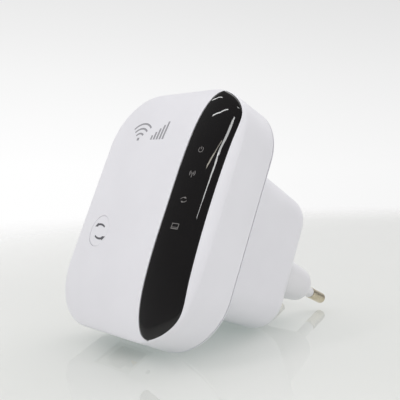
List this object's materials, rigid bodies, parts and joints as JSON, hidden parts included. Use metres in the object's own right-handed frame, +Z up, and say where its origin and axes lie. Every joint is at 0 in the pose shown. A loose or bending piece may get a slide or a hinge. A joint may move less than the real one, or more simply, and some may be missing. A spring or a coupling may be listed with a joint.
{
  "type": "plug-in wireless range extender",
  "caption": "Pillow-fronted wireless range extender with a black indicator strip and a push button, on a deep housing that plugs straight into a two-pin wall socket.",
  "frame": {"origin": "middle of the bounding box at table height; the part lies back as in the picture, on the body's lower back edge and the plug housing's lower rear edge", "axes": "+X to the right as seen from the front, +Y from the front towards the plug, +Z up from the table; the body's own upright axis leans back by 24.01 degrees about X"},
  "size_m": [0.06, 0.0938, 0.0764],
  "materials": {
    "shell_white": "gloss",
    "strip_black": "gloss",
    "plug_white": "satin",
    "pin_brass": "polished",
    "board_green": "satin",
    "board_tan": "satin",
    "package_black": "matte",
    "package_pale": "satin",
    "tinned_steel": "satin",
    "sheet_brass": "satin",
    "clear_guide": "gloss",
    "ferrite": "matte",
    "winding_copper": "satin",
    "can_aluminium": "satin",
    "blue_disc": "satin",
    "fuse_ceramic": "satin",
    "lead_rubber": "satin"
  },
  "bodies": {
    "casing": {"front_shell": "shell_white", "rear_cover": "shell_white", "indicator_strip": "strip_black", "plug_nose": "plug_white", "pin_left": "pin_brass", "pin_right": "pin_brass", "sleeve_left": "plug_white", "sleeve_right": "plug_white", "main_board": "board_green", "rf_shield": "tinned_steel", "radio_chip": "package_black", "memory_chip": "package_black", "crystal": "tinned_steel", "lan_transformer": "package_black", "ethernet_jack": "package_black", "jack_contacts": "sheet_brass", "status_leds": "package_pale", "light_guide": "clear_guide", "button_switch": "package_black", "reset_switch": "tinned_steel", "antenna_left": "sheet_brass", "antenna_right": "sheet_brass", "dc_connector": "package_pale", "dc_lead": "lead_rubber", "board_screws": "tinned_steel", "power_board": "board_tan", "transformer_core": "ferrite", "transformer_winding": "winding_copper", "mains_capacitors": "can_aluminium", "output_capacitor": "can_aluminium", "filter_choke": "ferrite", "fuse": "fuse_ceramic", "bridge_rectifier": "package_black", "safety_capacitor": "blue_disc", "controller_chip": "package_black", "power_screws": "tinned_steel"},
    "push_button": {"push_button": "shell_white"},
    "switch_plunger": {"switch_plunger": "package_pale"},
    "reset_plunger": {"reset_plunger": "package_black"}
  },
  "joints": [
    {"name": "button_press", "type": "slide", "parent": "casing", "child": "push_button", "axis": [0, 0.9135, -0.4069], "range_m": [0, 0.0005], "stiffness_N_per_m": 2000},
    {"name": "switch_press", "type": "slide", "parent": "casing", "child": "switch_plunger", "axis": [0, 0.9135, -0.4069], "range_m": [0, 0.0005]},
    {"name": "reset_press", "type": "slide", "parent": "casing", "child": "reset_plunger", "axis": [0, 0.4069, 0.9135], "range_m": [0, 0.0003], "stiffness_N_per_m": 4000}
  ],
  "couplings": [
    {"joint": "switch_press", "follows": "button_press", "ratio": 1}
  ]
}
